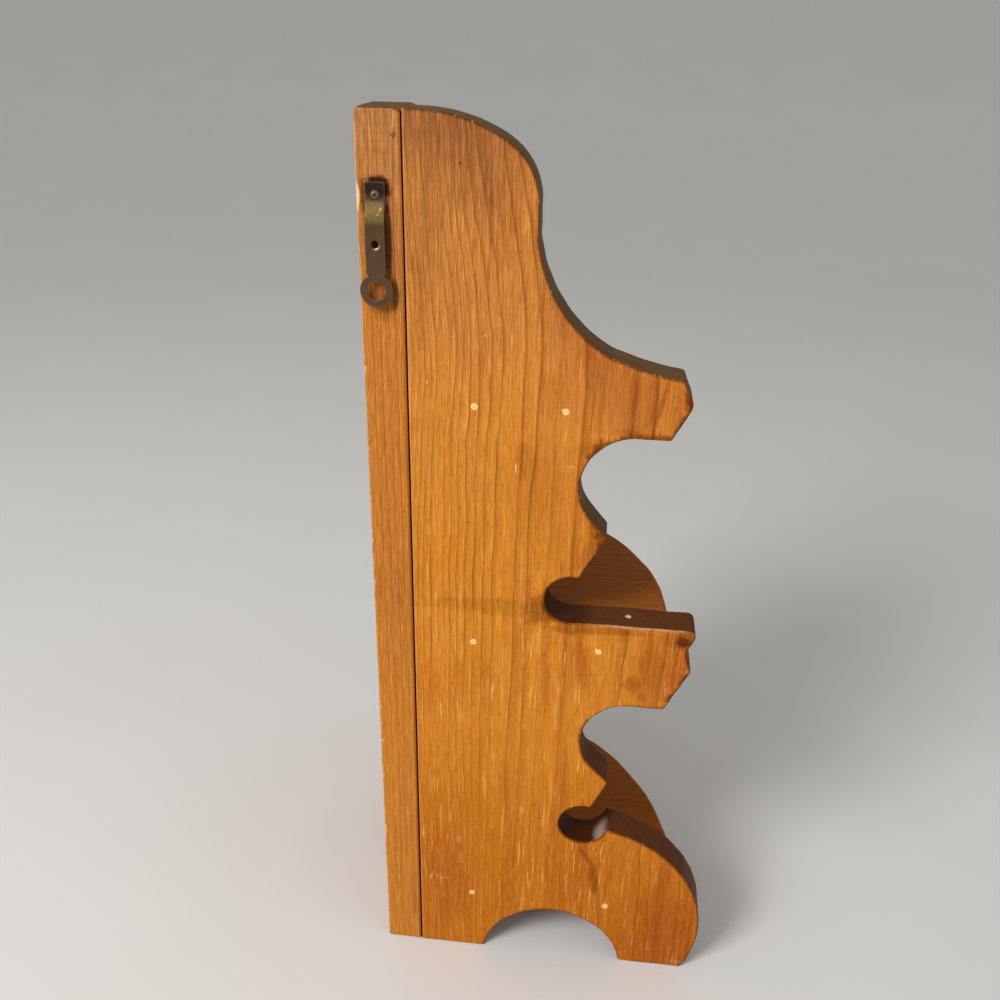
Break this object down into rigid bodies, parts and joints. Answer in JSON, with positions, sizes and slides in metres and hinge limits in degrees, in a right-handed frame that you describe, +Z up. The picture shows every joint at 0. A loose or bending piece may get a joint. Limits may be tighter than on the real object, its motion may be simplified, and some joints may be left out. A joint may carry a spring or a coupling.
{
  "type": "corner shelf",
  "caption": "Scroll-cut wooden corner wall shelf: butted side boards with lobed fronts carry quarter-round shelves, and a swivelling strap hanger sits on the rear edge.",
  "frame": {"origin": "on the floor plane under the middle of the part's bounding box", "axes": "+X along the right side board away from the wall corner, +Y along the left side board away from the wall corner, +Z up; the outer corner edge is at -X, -Y"},
  "size_m": [0.177, 0.1806, 0.457],
  "materials": {
    "varnished_board": "amber varnish on the wall sides, dark stain on the sawn edges and room sides",
    "stained_shelf": "dark brown stain, satin",
    "nail_steel": "bright drawn wire",
    "filler": "dry cream wood filler",
    "aged_brass": "browned with age, olive where it is worn",
    "screw_steel": "darkened steel"
  },
  "bodies": {
    "shelf": {"left_side_panel": "varnished_board", "right_side_panel": "varnished_board", "top_shelf": "stained_shelf", "middle_shelf": "stained_shelf", "bottom_shelf": "stained_shelf", "left_top_shelf_nails": "nail_steel", "left_middle_shelf_nails": "nail_steel", "left_bottom_shelf_nails": "nail_steel", "right_top_shelf_nails": "nail_steel", "right_middle_shelf_nails": "nail_steel", "right_bottom_shelf_nails": "nail_steel", "corner_joint_nails": "nail_steel", "left_nail_filler": "filler", "right_nail_filler": "filler", "hanger_screw": "screw_steel"},
    "hanger": {"hanger_strap": "aged_brass"}
  },
  "joints": [
    {"name": "hanger_swivel", "type": "hinge", "parent": "shelf", "child": "hanger", "pos_m": [-0.0807, -0.0867, 0.424], "axis": [0, 1, 0], "range_deg": [-15, 15]}
  ]
}
